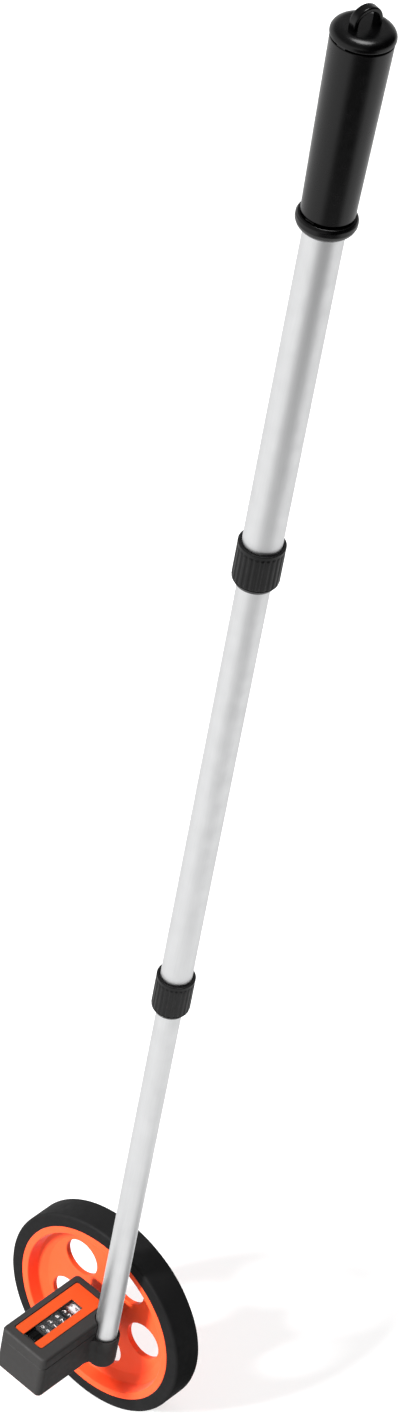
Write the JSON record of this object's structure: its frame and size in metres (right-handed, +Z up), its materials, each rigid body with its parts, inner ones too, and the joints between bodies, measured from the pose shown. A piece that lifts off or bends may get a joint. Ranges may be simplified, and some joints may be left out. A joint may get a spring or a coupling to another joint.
{
  "type": "measuring wheel",
  "caption": "Distance measuring wheel: a rubber-tyred disc that drives a drum counter in a box beside it, on a telescoping pole with twist locks and a grip.",
  "frame": {"origin": "on the ground that the tyre stands on, in the middle of the part's overall box", "axes": "+Z up along the pole, +X along the axle from the wheel to the counter box, +Y to the side of the box that the pole stands on"},
  "size_m": [0.0994, 0.1592, 1.1971],
  "materials": {
    "tyre_rubber": "matt black rubber",
    "wheel_orange": "smooth moulded plastic",
    "label_orange": "satin plastic",
    "casing_grey": "fine-grained moulded plastic",
    "grip_black": "satin moulded plastic",
    "gloss_black": "polished plastic",
    "tube_aluminium": "satin anodised",
    "steel": "bright plated",
    "zinc_plate": "zinc plated",
    "bush_bronze": "sintered bronze",
    "nylon": "natural nylon",
    "drum_white": "smooth plastic",
    "drum_black": "smooth plastic",
    "clear_window": "clear polished plastic"
  },
  "bodies": {
    "handle": {"top_tube": "tube_aluminium", "grip_sleeve": "grip_black", "grip_flange": "grip_black", "grip_cap": "grip_black", "upper_collet": "nylon"},
    "upper_lock": {"upper_collar": "casing_grey"},
    "middle_section": {"middle_tube": "tube_aluminium", "middle_tube_guide": "nylon", "lower_collet": "nylon"},
    "lower_lock": {"lower_collar": "casing_grey"},
    "lower_section": {"bottom_tube": "tube_aluminium", "bottom_tube_guide": "nylon", "tube_plug": "nylon", "tube_screw": "steel", "lower_casing": "casing_grey", "upper_casing": "casing_grey", "label_plate": "label_orange", "window_lens": "clear_window", "casing_screw_1": "steel", "casing_screw_2": "steel", "casing_screw_3": "steel", "casing_screw_4": "steel", "inner_axle_bush": "bush_bronze", "outer_axle_bush": "bush_bronze", "counter_frame": "zinc_plate", "pinion_shaft": "steel"},
    "wheel": {"tyre": "tyre_rubber", "wheel_disc": "wheel_orange", "axle": "steel", "axle_nut": "steel", "nut_washer": "steel", "hub_washer": "steel", "axle_clip": "steel", "drive_gear": "nylon"},
    "drum_1": {"counter_gear": "nylon", "digit_drum_1": "drum_white"},
    "drum_2": {"digit_drum_2": "drum_black"},
    "drum_3": {"digit_drum_3": "drum_black"},
    "drum_4": {"digit_drum_4": "drum_black"},
    "drum_5": {"digit_drum_5": "drum_black"},
    "pinion_1": {"carry_pinion_1": "nylon"},
    "pinion_2": {"carry_pinion_2": "nylon"},
    "pinion_3": {"carry_pinion_3": "nylon"},
    "pinion_4": {"carry_pinion_4": "nylon"},
    "reset": {"counter_shaft": "steel", "reset_wheel": "gloss_black"}
  },
  "joints": [
    {"name": "upper_slide", "type": "slide", "parent": "handle", "child": "middle_section", "axis": [0, 0, 1], "range_m": [0, 0.29]},
    {"name": "upper_twist", "type": "hinge", "parent": "handle", "child": "upper_lock", "pos_m": [-0.01323, 0.0225, 0.78308], "axis": [0, 0, 1], "range_deg": [-90, 0]},
    {"name": "lower_slide", "type": "slide", "parent": "middle_section", "child": "lower_section", "axis": [0, 0, 1], "range_m": [0, 0.29]},
    {"name": "lower_twist", "type": "hinge", "parent": "middle_section", "child": "lower_lock", "pos_m": [-0.01323, 0.0225, 0.41458], "axis": [0, 0, 1], "range_deg": [-90, 0]},
    {"name": "wheel_spin", "type": "hinge", "parent": "lower_section", "child": "wheel", "pos_m": [-0.03803, 0, 0.07958], "axis": [1, 0, 0], "continuous": true},
    {"name": "reset_spin", "type": "hinge", "parent": "lower_section", "child": "reset", "pos_m": [-0.03803, -0.0009, 0.09222], "axis": [1, 0, 0], "continuous": true},
    {"name": "drum_1_spin", "type": "hinge", "parent": "lower_section", "child": "drum_1", "pos_m": [-0.03803, -0.0009, 0.09222], "axis": [1, 0, 0], "continuous": true},
    {"name": "drum_2_spin", "type": "hinge", "parent": "lower_section", "child": "drum_2", "pos_m": [-0.03803, -0.0009, 0.09222], "axis": [1, 0, 0], "continuous": true},
    {"name": "drum_3_spin", "type": "hinge", "parent": "lower_section", "child": "drum_3", "pos_m": [-0.03803, -0.0009, 0.09222], "axis": [1, 0, 0], "continuous": true},
    {"name": "drum_4_spin", "type": "hinge", "parent": "lower_section", "child": "drum_4", "pos_m": [-0.03803, -0.0009, 0.09222], "axis": [1, 0, 0], "continuous": true},
    {"name": "drum_5_spin", "type": "hinge", "parent": "lower_section", "child": "drum_5", "pos_m": [-0.03803, -0.0009, 0.09222], "axis": [1, 0, 0], "continuous": true},
    {"name": "pinion_1_spin", "type": "hinge", "parent": "lower_section", "child": "pinion_1", "pos_m": [-0.03803, -0.00882, 0.0843], "axis": [1, 0, 0], "continuous": true},
    {"name": "pinion_2_spin", "type": "hinge", "parent": "lower_section", "child": "pinion_2", "pos_m": [-0.03803, -0.00882, 0.0843], "axis": [1, 0, 0], "continuous": true},
    {"name": "pinion_3_spin", "type": "hinge", "parent": "lower_section", "child": "pinion_3", "pos_m": [-0.03803, -0.00882, 0.0843], "axis": [1, 0, 0], "continuous": true},
    {"name": "pinion_4_spin", "type": "hinge", "parent": "lower_section", "child": "pinion_4", "pos_m": [-0.03803, -0.00882, 0.0843], "axis": [1, 0, 0], "continuous": true}
  ],
  "couplings": [
    {"joint": "drum_1_spin", "follows": "wheel_spin", "ratio": -0.5},
    {"joint": "drum_2_spin", "follows": "wheel_spin", "ratio": -0.05},
    {"joint": "drum_3_spin", "follows": "wheel_spin", "ratio": -0.005},
    {"joint": "drum_4_spin", "follows": "wheel_spin", "ratio": -0.0005},
    {"joint": "drum_5_spin", "follows": "wheel_spin", "ratio": -0.00005},
    {"joint": "pinion_1_spin", "follows": "wheel_spin", "ratio": 0.125},
    {"joint": "pinion_2_spin", "follows": "wheel_spin", "ratio": 0.0125},
    {"joint": "pinion_3_spin", "follows": "wheel_spin", "ratio": 0.00125},
    {"joint": "pinion_4_spin", "follows": "wheel_spin", "ratio": 0.000125}
  ]
}
